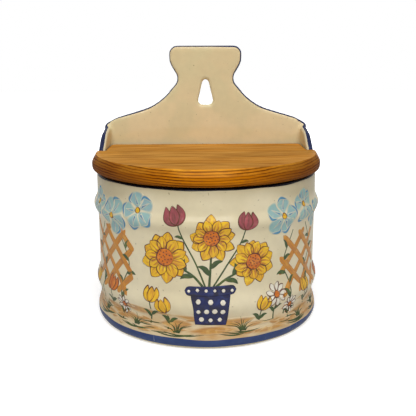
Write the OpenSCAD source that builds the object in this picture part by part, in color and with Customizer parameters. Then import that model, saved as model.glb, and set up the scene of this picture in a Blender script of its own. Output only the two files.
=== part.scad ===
// Wall salt box: a slip-cast pot with a half-round front, cheeks and a shaped back plate
// to hang it by, closed by a half-round wooden lid that turns on two dowels.
// Millimetres. +Z is up and +Y points at the wall. The origin is on the base, in the
// middle of the line where the half-round front meets the straight sides.

/* [Pot] */
// Width across the plain walls, which is also the diameter of the half-round front
pot_w = 166; // [140:1:200]
// Length of the straight sides, from the half-round front to the wall
side_l = 46; // [40:0.5:65]
// Height of the rim
rim_h = 112.7; // [90:0.1:150]
// Thickness of the cast wall
wall_t = 5.3; // [4:0.1:6.5]
// Thickness of the floor
floor_t = 6; // [4:0.5:9]
// Radius inside where the floor meets the wall
floor_r = 8; // [4:0.5:10]
// Radius inside where two walls meet at the back
corner_r = 4; // [2:0.5:6]

/* [Hoops and foot] */
// How far the upper hoop stands out
upper_hoop_out = 2.9; // [1:0.1:4.5]
// Height of the upper hoop
upper_hoop_h = 16; // [12:0.5:20]
// Distance from the rim down to the middle of the upper hoop
upper_hoop_drop = 24.4; // [18:0.1:32]
// How far the lower hoop stands out
lower_hoop_out = 2.7; // [1:0.1:4]
// Height of the lower hoop
lower_hoop_h = 21; // [14:0.5:24]
// Height of the lower hoop's middle above the base
lower_hoop_z = 31.3; // [28:0.1:40]
// How far the foot flares out
foot_out = 2.8; // [0.5:0.1:4]
// Height at which the foot's flare begins to die away
foot_z = 7; // [6:0.5:9]
// Height of the plain waist between the foot's flare and the lower hoop
waist_h = 2; // [0.5:0.5:4]
// How far the base is drawn in under the foot
foot_draw = 3; // [1:0.1:4]
// Height over which it is drawn in
foot_under = 4.5; // [3:0.1:5]
// Radius of the base's edge and of the foot's swell above it
foot_r = 3.2; // [3:0.1:4]

/* [Cheeks] */
// Distance from the end of the half-round front back to the cheeks
cheek_in = 2.9; // [2:0.1:6]
// Height of a cheek's front corner above the rim
cheek_front_h = 12.9; // [10:0.1:16]
// Height above the rim at which a cheek's slope flattens
cheek_crest_h = 23.4; // [20:0.1:26]
// Distance of that crest in front of the back plate
cheek_crest_in = 21; // [16:0.5:24]
// Height of a cheek above the rim where it meets the back plate
cheek_back_h = 27.2; // [25:0.1:28]
// Radius of a cheek's front corner
cheek_front_r = 6; // [4:0.5:8]
// Radius of a cheek's crest
cheek_crest_r = 20; // [10:1:30]
// Radius where a cheek rises from the rim
cheek_foot_r = 1.5; // [1:0.1:1.7]

/* [Back plate] */
// Thickness of the back plate
plate_t = 5.5; // [4.5:0.1:7]
// Height of the head's top above the rim
head_h = 90.9; // [86:0.1:110]
// Width of the head
head_w = 58.6; // [50:0.2:70]
// Radius of the head's top corners
head_r = 8.5; // [5:0.5:11]
// Distance from the head's top down to its lower corners
head_drop = 13.5; // [12:0.1:15]
// Radius of the head's lower corners
jaw_r = 14; // [8:0.5:16]
// Width between the two corners of the neck
neck_w = 42.4; // [36:0.2:46]
// Height of the neck's corners above the rim
neck_h = 64.3; // [61:0.1:67]
// Radius of the neck
neck_r = 7; // [4:0.5:9]
// Width between the feet of the neck, where it sweeps out to the shoulders
sweep_w = 77.4; // [68:0.2:84]
// Height of the neck's feet above the rim
sweep_h = 44; // [42:0.1:47]
// Radius of the sweep
sweep_r = 56; // [20:1:70]
// Distance of a shoulder's crest in from the side
shoulder_in = 10.1; // [7:0.1:13]
// Height of a shoulder's crest above the rim
shoulder_h = 33.8; // [33:0.1:37]
// Radius of a shoulder's crest
shoulder_r = 12; // [6:0.5:20]
// Height above the rim at which the side of the plate ends
side_h = 28.2; // [28:0.1:30]
// Radius of the corner where it ends
side_r = 4; // [3.5:0.1:6]

/* [Hanging hole] */
// Distance from the head's top down to the hole's tip
hole_drop = 24; // [22:0.5:34]
// Height of the hole
hole_h = 23.1; // [14:0.1:26]
// Width of the hole
hole_w = 13.6; // [9:0.1:15]
// Radius of the hole's tip
hole_tip_r = 2.6; // [1.5:0.1:3]
// Radius of the hole's lower corners
hole_low_r = 3.4; // [2:0.1:4]
// Radius on the hole's edges
hole_edge_r = 1.2; // [0.5:0.1:2]

/* [Lid] */
// Thickness of the lid
lid_t = 12; // [11.5:0.5:14]
// How far the lid stands out past the pot's plain wall
lid_over = 3.3; // [3:0.1:8]
// Gap between the rim and the closed lid
rest_gap = 0.3; // [0.2:0.1:0.6]
// Gap on each side of a cheek in its slot
side_gap = 0.7; // [0.4:0.1:1.2]
// Gap in front of a cheek in its slot
slot_gap = 0.9; // [0.8:0.1:1.5]
// Length of the lid's side tips, behind the front of the slots
tip_l = 17; // [8:0.5:19]
// Width of the bevel round the lid's top
bevel_w = 3; // [2:0.1:3.5]
// Height of the bevel
bevel_h = 5.5; // [4:0.1:5.8]
// Radius where the bevel runs into the lid's upright side
bevel_r = 3; // [2:0.1:3.5]
// Radius of the bevel's top edge
lid_top_r = 0.8; // [0.4:0.1:1.2]
// Radius of the lid's bottom edge
lid_low_r = 4.6; // [3:0.1:4.8]
// Radius of the corners inside the slots
slot_r = 1.5; // [1:0.1:2.5]
// Radius on the inner corners of the side tips
tip_r = 2; // [0.5:0.1:2.2]

/* [Hinge] */
// Distance from the back plate's face to the hinge line
hinge_in = 12; // [11:0.1:14]
// Gap that the lid's back corner keeps from the plate as it swings
swing_gap = 0.8; // [0.5:0.1:1.5]
// Diameter of the dowels
pin_d = 6; // [4:0.1:7]
// Running clearance round a dowel in its cheek
pin_clear = 0.09; // [0.05:0.01:0.1]
// Length of a dowel inside the lid
pin_in = 18; // [12:0.5:25]
// How far a dowel's end stands out of its cheek
pin_out = 0.6; // [0.3:0.1:1.5]
// Chamfer on the dowels' ends
pin_chamfer = 0.5; // [0.2:0.1:1]

/* [Hidden] */

GLAZE = [0.86, 0.79, 0.64];
PINE = [0.74, 0.49, 0.22];
DOWEL = [0.80, 0.62, 0.38];

pot_r = pot_w / 2;
wall_mid = pot_r - wall_t / 2;
inner_r = pot_r - wall_t;
plate_y = side_l - plate_t;
upper_hoop_z = rim_h - upper_hoop_drop;

// The rim and the cheeks' and plate's edges are rounded right across in this many flats
edge_steps = 6;
edge_angles = [for (i = [0 : edge_steps]) 90 - 180 * i / edge_steps];
// Height up to which the side walls are plain extrusions
wall_top = rim_h - wall_t;

hinge_y = plate_y - hinge_in;
hinge_z = rim_h + rest_gap + lid_t / 2;
lid_r = pot_r + lid_over;
lid_z = rim_h + rest_gap;
tab_x = inner_r - side_gap;
tab_y = hinge_y + sqrt(pow(hinge_in - swing_gap, 2) - pow(lid_t / 2, 2));
slot_x = pot_r + side_gap;
slot_y = cheek_in - slot_gap;

// Overshoot of a cut past the face that it opens
over = 1;
// Largest turn and longest chord of one flat on a faceted curve
flat_turn = 15;
flat_l = 3;

// ---- curves ----

function unit(v) = v / norm(v);
function turned(v, a) = [v.x * cos(a) - v.y * sin(a), v.x * sin(a) + v.y * cos(a)];

// Arc of radius r that rounds the corner q between its neighbours p and s
function corner(p, q, s, r) =
    let (u = unit(p - q), v = unit(s - q))
    let (half = acos(u * v) / 2)
    let (run = min(r / tan(half), norm(p - q) / 2, norm(s - q) / 2))
    let (radius = run * tan(half))
    let (centre = q + unit(u + v) * radius / sin(half))
    let (turn = (180 - 2 * half) * sign(cross(v, u)))
    let (arc_l = radius * abs(turn) * PI / 180)
    let (n = max(ceil(abs(turn) / flat_turn), ceil(arc_l / flat_l)))
    [for (i = [0 : n]) centre + turned(q + u * run - centre, turn * i / n)];

function xy(v) = [v[0], v[1]];

// Points [x, y, radius] joined by straight lines, with the corners rounded
function rounded_path(v) = [
    for (i = [0 : len(v) - 1])
        if (i == 0 || i == len(v) - 1 || v[i][2] == 0)
            xy(v[i])
        else
            each corner(xy(v[i - 1]), xy(v[i]), xy(v[i + 1]), v[i][2])
];

function rounded_loop(v) = [
    for (i = [0 : len(v) - 1])
        if (v[i][2] == 0)
            xy(v[i])
        else
            each corner(xy(v[(i + len(v) - 1) % len(v)]), xy(v[i]), xy(v[(i + 1) % len(v)]), v[i][2])
];

function mirrored(path) = [for (i = [len(path) - 1 : -1 : 0]) [-path[i].x, path[i].y]];

// Outward normal at point i of a loop that runs anticlockwise
function normal(loop, i) =
    let (n = len(loop))
    let (run = loop[(i + 1) % n] - loop[(i + n - 1) % n])
    unit([run.y, -run.x]);

// ---- solids from curves ----

// Triangles of a ring of n points that can all be seen from its first
function fan(n) = [for (i = [1 : n - 2]) [0, i, i + 1]];

// Triangles of a ring of n points whose second half mirrors its first
function ladder(n) = [
    for (i = [0 : n / 2 - 2])
        each [[i, i + 1, n - 1 - i], [n - 1 - i, i + 1, n - 2 - i]]
];

// Solid through rings of 3-D points, closed by caps of the given triangles. Each ring
// has the same number of points and runs clockwise as seen from before the first.
module loft(rings, cap) {
    n = len(rings[0]);
    last = len(rings) - 1;
    sides = [
        for (k = [0 : last - 1], i = [0 : n - 1])
            let (a = k * n + i, b = k * n + (i + 1) % n)
            each [[a, a + n, b], [b, a + n, b + n]]
    ];
    last_cap = [for (t = cap) [t[2], t[1], t[0]] + last * n * [1, 1, 1]];
    polyhedron(points = [for (r = rings) each r], faces = concat(sides, cap, last_cap));
}

// Runs a section of [x, z] points along Y
module along_y(from, to) {
    translate([0, to, 0])
        rotate([90, 0, 0])
            linear_extrude(to - from)
                children();
}

// Concave fillet along Z in the corner of walls at +X and +Y, reaching into them by bury
module fillet(r, l, bury) {
    linear_extrude(l)
        difference() {
            translate([-r, -r])
                square(r + bury);
            translate([-r, -r])
                circle(r, $fn = 48);
        }
}

// ---- section of the pot ----

// How far a hoop of height h and reach out stands out at a height dz from its middle
function hoop(dz, h, out) = abs(dz) < h / 2 ? out * (1 + cos(360 * dz / h)) / 2 : 0;

function hoops(z) =
    hoop(z - upper_hoop_z, upper_hoop_h, upper_hoop_out)
    + hoop(z - lower_hoop_z, lower_hoop_h, lower_hoop_out);

// How far the flared foot stands out at a height z above its widest stretch
function flare(z) = hoop(z - foot_z, 2 * foot_fade, foot_out);

hoop_steps = 12;
fade_steps = 6;
foot_fade = lower_hoop_z - lower_hoop_h / 2 - waist_h - foot_z;
foot_heights = [for (i = [0 : fade_steps]) foot_z + foot_fade * i / fade_steps];
lower_heights = [for (i = [0 : hoop_steps]) lower_hoop_z + lower_hoop_h * (i / hoop_steps - 0.5)];
upper_heights = [for (i = [0 : hoop_steps]) upper_hoop_z + upper_hoop_h * (i / hoop_steps - 0.5)];
hoop_heights = concat(lower_heights, upper_heights);

// Outside of the pot, from the base up to the plain collar
foot_x = pot_r + foot_out;
base_corner = [foot_x - foot_draw, 0];
foot_corner = [foot_x, foot_under];
outside = concat(
    corner([0, 0], base_corner, foot_corner, foot_r),
    corner(base_corner, foot_corner, [foot_x, foot_z + foot_fade], foot_r),
    [for (z = foot_heights) [pot_r + flare(z), z]],
    [for (z = hoop_heights) [pot_r + hoops(z), z]]
);

// Inside of the pot, from the collar down to the floor: it follows the hoops
inside = concat(
    [for (i = [len(hoop_heights) - 1 : -1 : 0]) [inner_r + hoops(hoop_heights[i]), hoop_heights[i]]],
    corner([inner_r, wall_top], [inner_r, floor_t], [0, floor_t], floor_r)
);

rim = [for (a = edge_angles) [wall_mid + wall_t / 2 * sin(a), rim_h - wall_t / 2 * (1 - cos(a))]];

module pot_front() {
    rotate([0, 0, 180])
        rotate_extrude(angle = 180, $fn = 144)
            polygon(concat([[0, 0]], outside, rim, inside, [[0, floor_t]]));
}

module pot_sides() {
    half = concat(outside, [[pot_r, wall_top], [inner_r, wall_top]], inside);
    along_y(0, plate_y)
        polygon(concat(half, mirrored(half)));
}

// ---- cheeks ----

// Top edge of a side wall as [y, z]: along the rim, then up and over the cheek
cheek_edge = rounded_path([
    [0, rim_h, 0],
    [cheek_in, rim_h, cheek_foot_r],
    [cheek_in, rim_h + cheek_front_h, cheek_front_r],
    [plate_y - cheek_crest_in, rim_h + cheek_crest_h, cheek_crest_r],
    [plate_y, rim_h + cheek_back_h, 0]
]);

// The same edge lowered into the clay by d, with both ends kept in their planes
function lowered_edge(d) = [
    for (i = [0 : len(cheek_edge) - 1])
        i == 0 || i == len(cheek_edge) - 1
            ? cheek_edge[i] - [0, d]
            : cheek_edge[i] + normal(cheek_edge, i) * d
];

function cheek_ring(a) =
    let (x = wall_mid + wall_t / 2 * sin(a))
    let (edge = lowered_edge(wall_t / 2 * (1 - cos(a))))
    [for (p = concat([[plate_y, wall_top], [0, wall_top]], edge)) [x, p.x, p.y]];

module cheek() {
    loft([for (a = edge_angles) cheek_ring(a)], fan(len(cheek_edge) + 2));
}

// Fillet in the upright corner of a side wall and the back plate, up to the cheek's edge
module back_corner() {
    top = rim_h + cheek_back_h - wall_t;
    translate([inner_r, plate_y, floor_t / 2])
        fillet(corner_r, top - floor_t / 2, wall_t * 0.8);
}

// ---- back plate ----

head_x = head_w / 2;
head_z = rim_h + head_h;
plate_side = rounded_path([
    [pot_r, wall_top, 0],
    [pot_r, rim_h + side_h, side_r],
    [pot_r - shoulder_in, rim_h + shoulder_h, shoulder_r],
    [sweep_w / 2, rim_h + sweep_h, sweep_r],
    [neck_w / 2, rim_h + neck_h, neck_r],
    [head_x, head_z - head_drop, jaw_r],
    [head_x, head_z, head_r],
    [0, head_z, 0]
]);
plate_half = concat(outside, [for (i = [0 : len(plate_side) - 2]) plate_side[i]]);
plate_loop = concat(plate_half, mirrored(plate_half));

// Below the shoulders the plate's front runs flush into the side walls, so it is
// rounded only above them
round_from = rim_h + side_h + 1;
round_full = rim_h + shoulder_h + 2;
function front_share(z) = max(0, min(1, (z - round_from) / (round_full - round_from)));

function plate_ring(a) =
    let (d = plate_t / 2 * (1 - cos(a)))
    [
        for (i = [0 : len(plate_loop) - 1])
            let (share = a > 0 ? front_share(plate_loop[i].y) : 1)
            let (p = plate_loop[i] - normal(plate_loop, i) * d * share)
            [p.x, plate_y + plate_t / 2 * (1 - sin(a)), p.y]
    ];

module back_plate() {
    difference() {
        loft([for (i = [edge_steps : -1 : 0]) plate_ring(edge_angles[i])], ladder(len(plate_loop)));
        hanging_hole();
    }
}

// Teardrop with its edges rounded at both faces of the plate
hole_top = head_z - hole_drop;
hole_tip_cut = hole_tip_r * (hole_h / (hole_w / 2) - 1);
hole_loop = rounded_loop([
    [0, hole_top + hole_tip_cut, hole_tip_r],
    [-hole_w / 2, hole_top - hole_h, hole_low_r],
    [hole_w / 2, hole_top - hole_h, hole_low_r]
]);

hole_flare_steps = 3;
flare_angles = [for (i = [0 : hole_flare_steps]) 90 * i / hole_flare_steps];
function hole_ring(y, d) = [
    for (i = [0 : len(hole_loop) - 1])
        let (p = hole_loop[i] + normal(hole_loop, i) * d)
        [p.x, y, p.y]
];

module hanging_hole() {
    r = hole_edge_r;
    back = [for (a = flare_angles) hole_ring(side_l - r * sin(a), r * (1 - sin(a)))];
    front = [for (a = flare_angles) hole_ring(plate_y + r * cos(a), r * (1 - cos(a)))];
    rings = concat([hole_ring(side_l + over, r)], back, front, [hole_ring(plate_y - over, r)]);
    loft(rings, fan(len(hole_loop)));
}

// ---- sub-parts ----

module ceramic_body() {
    color(GLAZE)
        difference() {
            union() {
                pot_front();
                pot_sides();
                back_plate();
                for (side = [0, 1])
                    mirror([side, 0, 0]) {
                        cheek();
                        back_corner();
                    }
            }
            for (side = [0, 1])
                mirror([side, 0, 0])
                    hinge_bore(inner_r - over, pot_r + over, pin_d / 2 + pin_clear);
        }
}

// Bore along the hinge line on the +X side
module hinge_bore(from, to, r) {
    translate([from, hinge_y, hinge_z])
        rotate([0, 90, 0])
            cylinder(h = to - from, r = r, $fn = 48);
}

// Half of the board's section, with its rounded bottom edge and bevelled top edge
lid_section = rounded_path([
    [0, lid_z, 0],
    [lid_r, lid_z, lid_low_r],
    [lid_r, lid_z + lid_t - bevel_h, bevel_r],
    [lid_r - bevel_w, lid_z + lid_t, lid_top_r],
    [0, lid_z + lid_t, 0]
]);

// The board's plan, left too large all round its curved front
lid_reach = lid_r + over;
lid_side = [
    [lid_reach, -lid_reach, 0],
    [lid_reach, slot_y + tip_l, 0],
    [slot_x, slot_y + tip_l, tip_r],
    [slot_x, slot_y, slot_r],
    [tab_x, slot_y, slot_r],
    [tab_x, tab_y, corner_r]
];
lid_other_side = [for (i = [len(lid_side) - 1 : -1 : 0]) [-lid_side[i][0], lid_side[i][1], lid_side[i][2]]];

module lid() {
    color(PINE)
        difference() {
            intersection() {
                union() {
                    rotate([0, 0, 180])
                        rotate_extrude(angle = 180, $fn = 144)
                            polygon(lid_section);
                    along_y(0, side_l)
                        polygon(concat(lid_section, mirrored(lid_section)));
                }
                translate([0, 0, lid_z - over])
                    linear_extrude(lid_t + 2 * over)
                        polygon(rounded_loop(concat(lid_side, lid_other_side)));
            }
            for (side = [0, 1])
                mirror([side, 0, 0])
                    hinge_bore(tab_x - pin_in, tab_x + side_gap / 2, pin_d / 2);
        }
}

module hinge_pin() {
    pin_l = pin_in + pot_r + pin_out - tab_x;
    color(DOWEL)
        translate([tab_x - pin_in, hinge_y, hinge_z])
            rotate([0, 90, 0])
                rotate_extrude($fn = 48)
                    polygon([
                        [0, 0],
                        [pin_d / 2, 0],
                        [pin_d / 2, pin_l - pin_chamfer],
                        [pin_d / 2 - pin_chamfer, pin_l],
                        [0, pin_l]
                    ]);
}

module hinge_pin_right() {
    hinge_pin();
}

module hinge_pin_left() {
    mirror([1, 0, 0])
        hinge_pin();
}

ceramic_body();
lid();
hinge_pin_left();
hinge_pin_right();
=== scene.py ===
"""Looks of the wall salt box: a glazed, hand-painted pot with a varnished pine lid on dowels,
on a pale floor in soft light. Blender's objects are in metres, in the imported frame. The sizes
of the object here are in millimetres, and the painting is laid out along the outside of the
pot, with u along the wall from the middle of its front and z up."""

import math
import random

import bmesh
import bpy
import numpy as np
from mathutils import Matrix, Vector
from mathutils.bvhtree import BVHTree
from mathutils.kdtree import KDTree


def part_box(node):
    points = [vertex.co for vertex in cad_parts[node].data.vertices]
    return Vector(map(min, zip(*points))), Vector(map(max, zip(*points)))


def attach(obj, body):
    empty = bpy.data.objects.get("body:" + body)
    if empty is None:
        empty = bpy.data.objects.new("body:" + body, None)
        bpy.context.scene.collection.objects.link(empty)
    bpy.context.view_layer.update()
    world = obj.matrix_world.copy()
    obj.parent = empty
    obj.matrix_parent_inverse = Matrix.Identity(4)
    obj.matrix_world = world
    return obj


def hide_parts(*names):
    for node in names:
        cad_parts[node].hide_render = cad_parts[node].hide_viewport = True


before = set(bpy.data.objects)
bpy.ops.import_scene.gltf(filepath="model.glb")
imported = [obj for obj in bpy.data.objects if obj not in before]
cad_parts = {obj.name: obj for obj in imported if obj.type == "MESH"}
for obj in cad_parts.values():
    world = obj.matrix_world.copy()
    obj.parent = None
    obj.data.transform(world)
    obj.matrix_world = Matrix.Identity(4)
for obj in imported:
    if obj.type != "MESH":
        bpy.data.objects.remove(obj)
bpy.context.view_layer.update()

MM = 0.001
random.seed(7)


# ---- sizes in millimetres, from the frame where it has them ----

BODY_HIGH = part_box("ceramic_body")[1] / MM
LID_LOW, LID_HIGH = (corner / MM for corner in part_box("lid"))
PIN_LOW, PIN_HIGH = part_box("hinge_pin_left")
HINGE_Y, HINGE_Z = (value / MM for value in PIN_LOW.lerp(PIN_HIGH, 0.5)[1:])
LID_OVER = 3.3
REST_GAP = 0.3
PLATE_T = 5.5
CHEEK_RISE = 27.2
CHEEK_FRONT_Y = 2.9
HOLE_Z = 167
POT_R = LID_HIGH.x - LID_OVER
RIM_Z = LID_LOW.z - REST_GAP
PLATE_Y = BODY_HIGH.y - PLATE_T
CHEEK_TOP_Z = RIM_Z + CHEEK_RISE
FRONT_HALF = POT_R * math.pi / 2


# ---- meshes ----

WELD_GAP = 0.001


def new_piece(name, vertices, faces, body):
    """A smooth-shaded mesh piece of the object, from vertices in millimetres."""
    mesh = bpy.data.meshes.new(name)
    mesh.from_pydata([Vector(v) * MM for v in vertices], [], faces)
    mesh.shade_smooth()
    piece = bpy.data.objects.new(name, mesh)
    bpy.context.scene.collection.objects.link(piece)
    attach(piece, body)
    return piece


def softened(node, name, voxel, passes, body):
    """A copy of a CAD node with its edges softened, as glaze or varnish leaves them."""
    piece = bpy.data.objects.new(name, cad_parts[node].data.copy())
    bpy.context.scene.collection.objects.link(piece)
    mesh = bmesh.new()
    mesh.from_mesh(piece.data)
    bmesh.ops.remove_doubles(mesh, verts=mesh.verts, dist=WELD_GAP * MM)
    mesh.to_mesh(piece.data)
    mesh.free()
    remesh = piece.modifiers.new("remesh", "REMESH")
    remesh.mode = "VOXEL"
    remesh.voxel_size = voxel * MM
    smooth = piece.modifiers.new("smooth", "SMOOTH")
    smooth.factor = 0.5
    smooth.iterations = passes
    made = piece.evaluated_get(bpy.context.evaluated_depsgraph_get())
    piece.data = bpy.data.meshes.new_from_object(made)
    piece.modifiers.clear()
    piece.data.shade_smooth()
    piece.data.materials.clear()
    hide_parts(node)
    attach(piece, body)
    return piece


def positions(mesh):
    """Vertices of a mesh in millimetres, as an array."""
    flat = np.empty(len(mesh.vertices) * 3)
    mesh.vertices.foreach_get("co", flat)
    return flat.reshape(-1, 3) / MM


def normals(mesh):
    """Normals at the vertices of a mesh, as an array."""
    flat = np.empty(len(mesh.vertices) * 3)
    mesh.vertex_normals.foreach_get("vector", flat)
    return flat.reshape(-1, 3)


def store(mesh, name, values):
    """Keeps a number, or a vector, for each vertex as a named attribute."""
    kind, field = ("FLOAT", "value") if values.ndim == 1 else ("FLOAT_VECTOR", "vector")
    attribute = mesh.attributes.new(name, kind, "POINT")
    attribute.data.foreach_set(field, values.astype(np.float32).ravel())


# ---- material nodes ----

def srgb(red, green, blue):
    """A display colour from 0 to 255 as the linear colour that shaders take."""
    def linear(value):
        value /= 255
        return value / 12.92 if value <= 0.04045 else ((value + 0.055) / 1.055) ** 2.4
    return (linear(red), linear(green), linear(blue), 1.0)


def feed(tree, socket, value):
    """Gives a socket a constant, or links it to another node's output."""
    if isinstance(value, bpy.types.NodeSocket):
        tree.links.new(value, socket)
    else:
        socket.default_value = value


def add_node(tree, kind, inputs=None, **settings):
    """A new node with its settings, and with constants or other nodes' outputs on its inputs."""
    node = tree.nodes.new("ShaderNode" + kind)
    for name, setting in settings.items():
        setattr(node, name, setting)
    for key, value in (inputs or {}).items():
        feed(tree, node.inputs[key], value)
    return node


class Shader:
    """A node material, with short calls for the nodes that are used here."""

    def __init__(self, name):
        self.material = bpy.data.materials.new(name)
        self.material.use_nodes = True
        self.tree = self.material.node_tree
        self.surface = self.tree.nodes["Principled BSDF"]
        coordinates = add_node(self.tree, "TexCoord")
        self.place = self.stretched(coordinates.outputs["Object"], (1 / MM,) * 3)
        self.x, self.y, self.z = self.split(self.place)
        self.facing_x, self.facing_y, self.facing_z = self.split(coordinates.outputs["Normal"])

    def split(self, vector):
        """The three coordinates of a vector."""
        return add_node(self.tree, "SeparateXYZ", {0: vector}).outputs

    def combine(self, x, y, z):
        """A vector, or a colour, from its three coordinates."""
        return add_node(self.tree, "CombineXYZ", {0: x, 1: y, 2: z}).outputs[0]

    def stretched(self, vector, factors):
        """A vector with each coordinate multiplied by its factor."""
        return add_node(self.tree, "VectorMath", {0: vector, 1: factors}, operation="MULTIPLY").outputs[0]

    def math(self, operation, a, b=0.0):
        """The result of one operation on one or two values."""
        return add_node(self.tree, "Math", {0: a, 1: b}, operation=operation).outputs[0]

    def product(self, value, *factors):
        """A value multiplied by one or more factors."""
        for factor in factors:
            value = self.math("MULTIPLY", value, factor)
        return value

    def total(self, value, *terms):
        """A value with one or more terms added."""
        for term in terms:
            value = self.math("ADD", value, term)
        return value

    def noise(self, size, stretch=(1, 1, 1), detail=2.0, at=None):
        """Smooth noise from 0 to 1 with features of a size in millimetres."""
        place = self.stretched(self.place if at is None else at, [s / size for s in stretch])
        inputs = {"Vector": place, "Scale": 1.0, "Detail": detail}
        return add_node(self.tree, "TexNoise", inputs).outputs[0]

    def ramp(self, value, start, end):
        """0 up to the start and 1 from the end on, with a smooth rise between them."""
        inputs = {"Value": value, "From Min": start, "From Max": end}
        return add_node(self.tree, "MapRange", inputs, interpolation_type="SMOOTHSTEP").outputs[0]

    def scale(self, value, low, high):
        """Takes a value from 0 to 1 onto the range from low to high."""
        return add_node(self.tree, "MapRange", {"Value": value, "To Min": low, "To Max": high}).outputs[0]

    def mix(self, share, a, b, blend="MIX"):
        """Colour a, with its share of colour b."""
        inputs = {"Factor": share, 6: a, 7: b}
        return add_node(self.tree, "Mix", inputs, data_type="RGBA", blend_type=blend).outputs[2]

    def attribute(self, name, output="Fac"):
        """What store() kept on the mesh under a name."""
        return add_node(self.tree, "Attribute", attribute_name=name).outputs[output]

    def bump(self, height, depth):
        """Relief of a depth in millimetres."""
        relief = add_node(self.tree, "Bump", {"Strength": 1.0, "Distance": depth * MM, "Height": height})
        feed(self.tree, self.surface.inputs["Normal"], relief.outputs[0])

    def finish(self, colour, roughness, gloss=0.0, coat=0.0, coat_roughness=0.03):
        """Sets the surface, and returns the material."""
        values = {"Base Color": colour, "Roughness": roughness, "Specular IOR Level": gloss,
                  "Coat Weight": coat, "Coat Roughness": coat_roughness}
        for name, value in values.items():
            feed(self.tree, self.surface.inputs[name], value)
        return self.material


# ---- colours ----

CREAM = srgb(216, 203, 168)
CREAM_PALE = srgb(225, 213, 181)
# Cream darkened by painted shade under the lid
CREAM_IN_LID_SHADE = srgb(172, 157, 120)
BUFF = srgb(228, 209, 165)
# Buff darkened towards the head of the plate: painted shade
HEAD_BUFF_SHADED = srgb(216, 196, 152)
GREEN_BUFF = srgb(212, 200, 156)
OCHRE = srgb(186, 130, 44)
SPECK = srgb(96, 78, 58)
NAVY = srgb(34, 46, 92)
NAVY_DEEP = srgb(14, 20, 50)
# Navy darkened to near black at the rim: painted shade under the lid
NAVY_IN_LID_SHADE = srgb(12, 14, 28)
BAND_NAVY = srgb(36, 52, 98)
BAND_WORN = srgb(62, 80, 124)
BAND_SCUFF = srgb(168, 176, 190)

# Wood colours by facing: the top is paler than the edge as painted sheen
TOP_WOOD_SHEEN = srgb(216, 157, 74)
TOP_WOOD_SHEEN_DEEP = srgb(200, 138, 56)
# The bevel's bright colour is a painted highlight
BEVEL_WOOD_HIGHLIGHT = srgb(248, 176, 54)
BEVEL_WOOD_HIGHLIGHT_DEEP = srgb(206, 128, 24)
EDGE_WOOD = srgb(196, 116, 4)
EDGE_WOOD_DEEP = srgb(172, 94, 0)
# End grain, darkened further as painted shade
END_GRAIN_SHADED = srgb(116, 64, 16)
# The underside, darkened as painted shade
UNDER_WOOD_SHADED = srgb(104, 54, 10)
PORE_WOOD = srgb(146, 84, 20)
LATE_WOOD = srgb(74, 30, 0)
BEECH = srgb(214, 176, 120)
BEECH_DEEP = srgb(176, 130, 78)

# Brush colours; paint_material() says what the numbers beside them do
PAINTS = {
    "amber": dict(main=srgb(202, 134, 28), dark=srgb(180, 104, 6), pale=srgb(212, 156, 64),
                  streak=0.35, pool=0.6),
    "yellow": dict(main=srgb(232, 184, 8), dark=srgb(206, 140, 0), pale=srgb(240, 206, 46)),
    "umber": dict(main=srgb(112, 50, 30), dark=srgb(70, 26, 20), pale=srgb(138, 76, 50), streak=0.2),
    "navy": dict(main=srgb(20, 32, 86), dark=srgb(6, 10, 46), pale=srgb(34, 52, 112), streak=0.15),
    "white": dict(main=srgb(234, 228, 212), dark=srgb(216, 208, 190), pale=srgb(242, 236, 222),
                  streak=0.1),
    "plum": dict(main=srgb(156, 62, 76), dark=srgb(102, 26, 44), pale=srgb(180, 92, 96)),
    "blue": dict(main=srgb(128, 180, 180), dark=srgb(84, 154, 178), pale=srgb(162, 190, 172),
                 streak=1.0, soft=2.4),
    "azure": dict(main=srgb(44, 134, 172), dark=srgb(24, 108, 160), pale=srgb(84, 158, 180),
                  streak=0.5, soft=0.7, pool=0.0),
    "earth": dict(main=srgb(192, 138, 58), dark=srgb(160, 96, 20), pale=srgb(210, 168, 92),
                  cover=0.98, streak=0.9, soft=2.0, pool=0.0),
    "clay": dict(main=srgb(186, 130, 56), dark=srgb(156, 96, 28), pale=srgb(204, 156, 84),
                 cover=0.95, streak=0.9, soft=0.7, pool=0.0),
    "green": dict(main=srgb(44, 80, 34), dark=srgb(18, 52, 28), pale=srgb(92, 110, 42)),
    "orange": dict(main=srgb(210, 110, 4), dark=srgb(172, 74, 0), pale=srgb(222, 140, 40)),
}


# ---- glaze ----

# Low and high edge of the navy band round the foot, and how soft the painted edges are
BAND_LOW_Z, BAND_HIGH_Z = 2.4, 8.3
BAND_BLUR = 0.2
LINE_BLUR = 0.12


def outside_wall(shader):
    """1 on the outside of the pot's front and sides, 0 on its inside, floor, base and back."""
    sideways = shader.product(shader.x, shader.facing_x)
    forwards = shader.product(shader.math("MINIMUM", shader.y, 0.0), shader.facing_y)
    return shader.ramp(shader.total(sideways, forwards), 12, 36)


def earth_wash(shader):
    """Share of the patchy ochre wash above the foot band."""
    above = shader.ramp(shader.z, BAND_HIGH_Z - 1.8, BAND_HIGH_Z + 0.7)
    below = shader.ramp(shader.total(shader.z, shader.product(shader.noise(40), 16)), 37, 23)
    patches = shader.ramp(shader.noise(26, (1, 1, 1.9), detail=4), 0.38, 0.6)
    streaks = shader.noise(7, (1, 1, 3.2), detail=3)
    return shader.product(above, below, shader.scale(patches, 0.35, 1.0), shader.scale(streaks, 0.4, 1.0))


def painted_lid_shade(shader):
    """Share of the painted shade under the lid's overhang: deeper at the sides, and none near the plate.
    """
    sideways = shader.ramp(shader.math("ABSOLUTE", shader.x), 36, 76)
    height = shader.total(shader.z, shader.product(sideways, 9))
    comes_in = shader.ramp(height, RIM_Z - 11.7, RIM_Z - 1.7)
    goes_out = shader.ramp(shader.z, RIM_Z + 3, RIM_Z)
    off_plate = shader.ramp(shader.y, PLATE_Y - 12, PLATE_Y - 30)
    return shader.product(comes_in, goes_out, off_plate, shader.scale(sideways, 0.45, 0.6))


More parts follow.
